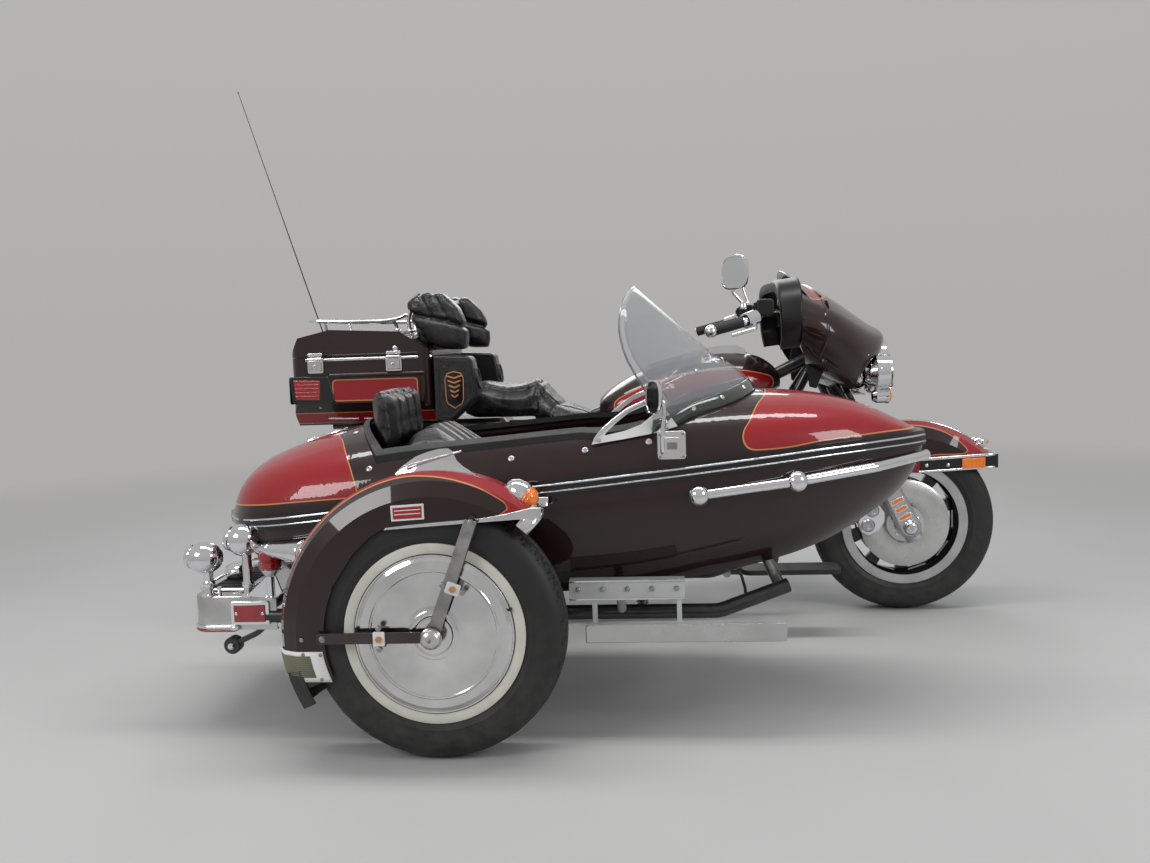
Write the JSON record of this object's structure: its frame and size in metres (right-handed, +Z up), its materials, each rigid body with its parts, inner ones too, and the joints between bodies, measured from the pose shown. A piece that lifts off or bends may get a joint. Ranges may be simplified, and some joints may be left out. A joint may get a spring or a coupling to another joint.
{
  "type": "motorcycle with sidecar",
  "caption": "Full-dress touring motorcycle with a handlebar fairing, hard luggage and a passenger sidecar on its right side; steering, wheels and lids move.",
  "frame": {"origin": "on the ground, below the middle of the whole outline seen from above", "axes": "+X forward, +Y to the rider's left, +Z up; the sidecar is on the -Y side"},
  "size_m": [2.7343, 1.9148, 1.9726],
  "materials": {
    "body_paint": "gloss dark maroon",
    "dark_frame": "gloss black",
    "chrome": "polished",
    "alloy": "satin",
    "tyre": "matte",
    "black_rubber": "matte",
    "black_leather": "soft satin",
    "tinted_screen": "smoked, nearly opaque",
    "red_lens": "gloss red lens",
    "black_plastic": "gloss black"
  },
  "bodies": {
    "chassis": {"frame": "dark_frame", "engine_cylinders": "alloy", "engine_cases": "alloy", "engine_covers": "chrome", "exhaust": "chrome", "swing_arm": "dark_frame", "rear_fender": "body_paint", "fuel_tank": "body_paint", "tank_console": "chrome", "seat": "black_leather", "speaker_pods": "black_plastic", "top_case_base": "body_paint", "antenna": "black_plastic", "top_case_lights": "red_lens", "saddlebags": "body_paint", "foot_boards": "black_rubber", "engine_guards": "chrome", "side_covers": "body_paint", "sidecar_tub": "body_paint", "cockpit_rim": "black_leather", "tub_belt": "black_plastic", "sidecar_seat": "black_leather", "windshield": "tinted_screen", "windshield_base": "black_plastic", "sidecar_fender": "body_paint", "fender_struts": "alloy", "fender_flap": "black_rubber", "sidecar_frame": "dark_frame", "sidecar_step": "chrome", "nose_bar": "chrome", "rear_bumper": "chrome", "rear_lamps": "chrome", "sidecar_mirror": "chrome"},
    "steering": {"fork": "chrome", "front_fender": "body_paint", "front_fender_rail": "black_plastic", "handlebar": "chrome", "grips": "black_rubber", "mirrors": "chrome", "fairing": "body_paint", "dash": "black_plastic", "front_lamps": "chrome"},
    "front_wheel": {"front_tyre": "tyre", "front_rim": "alloy", "front_wheel_covers": "chrome"},
    "rear_wheel": {"rear_tyre": "tyre", "rear_rim": "alloy"},
    "sidecar_wheel": {"sidecar_tyre": "tyre", "sidecar_rim": "alloy", "sidecar_wheel_cover": "chrome"},
    "top_case_lid": {"top_case_lid": "body_paint", "lid_rack": "chrome", "pillion_backrest": "black_leather"},
    "saddlebag_lid_left": {"saddlebag_lid_left": "body_paint"},
    "saddlebag_lid_right": {"saddlebag_lid_right": "body_paint"}
  },
  "joints": [
    {"name": "steering", "type": "hinge", "parent": "chassis", "child": "steering", "pos_m": [0.76348, 0.46959, 0.92], "axis": [-0.4384, 0, 0.8988], "range_deg": [-32, 32]},
    {"name": "front_wheel_spin", "type": "hinge", "parent": "steering", "child": "front_wheel", "pos_m": [1.0552, 0.46959, 0.312], "axis": [0, 1, 0], "continuous": true},
    {"name": "rear_wheel_spin", "type": "hinge", "parent": "chassis", "child": "rear_wheel", "pos_m": [-0.5428, 0.46959, 0.312], "axis": [0, 1, 0], "continuous": true},
    {"name": "sidecar_wheel_spin", "type": "hinge", "parent": "chassis", "child": "sidecar_wheel", "pos_m": [-0.3258, -0.8434, 0.312], "axis": [0, 1, 0], "continuous": true},
    {"name": "top_case_lid_hinge", "type": "hinge", "parent": "chassis", "child": "top_case_lid", "pos_m": [-0.7828, 0.7726, 0.95], "axis": [-1, 0, 0], "range_deg": [0, 85]},
    {"name": "saddlebag_lid_left_hinge", "type": "hinge", "parent": "chassis", "child": "saddlebag_lid_left", "pos_m": [-0.6428, 0.71259, 0.652], "axis": [1, 0, 0], "range_deg": [0, 32]},
    {"name": "saddlebag_lid_right_hinge", "type": "hinge", "parent": "chassis", "child": "saddlebag_lid_right", "pos_m": [-0.6428, 0.22659, 0.652], "axis": [-1, 0, 0], "range_deg": [0, 32]}
  ]
}
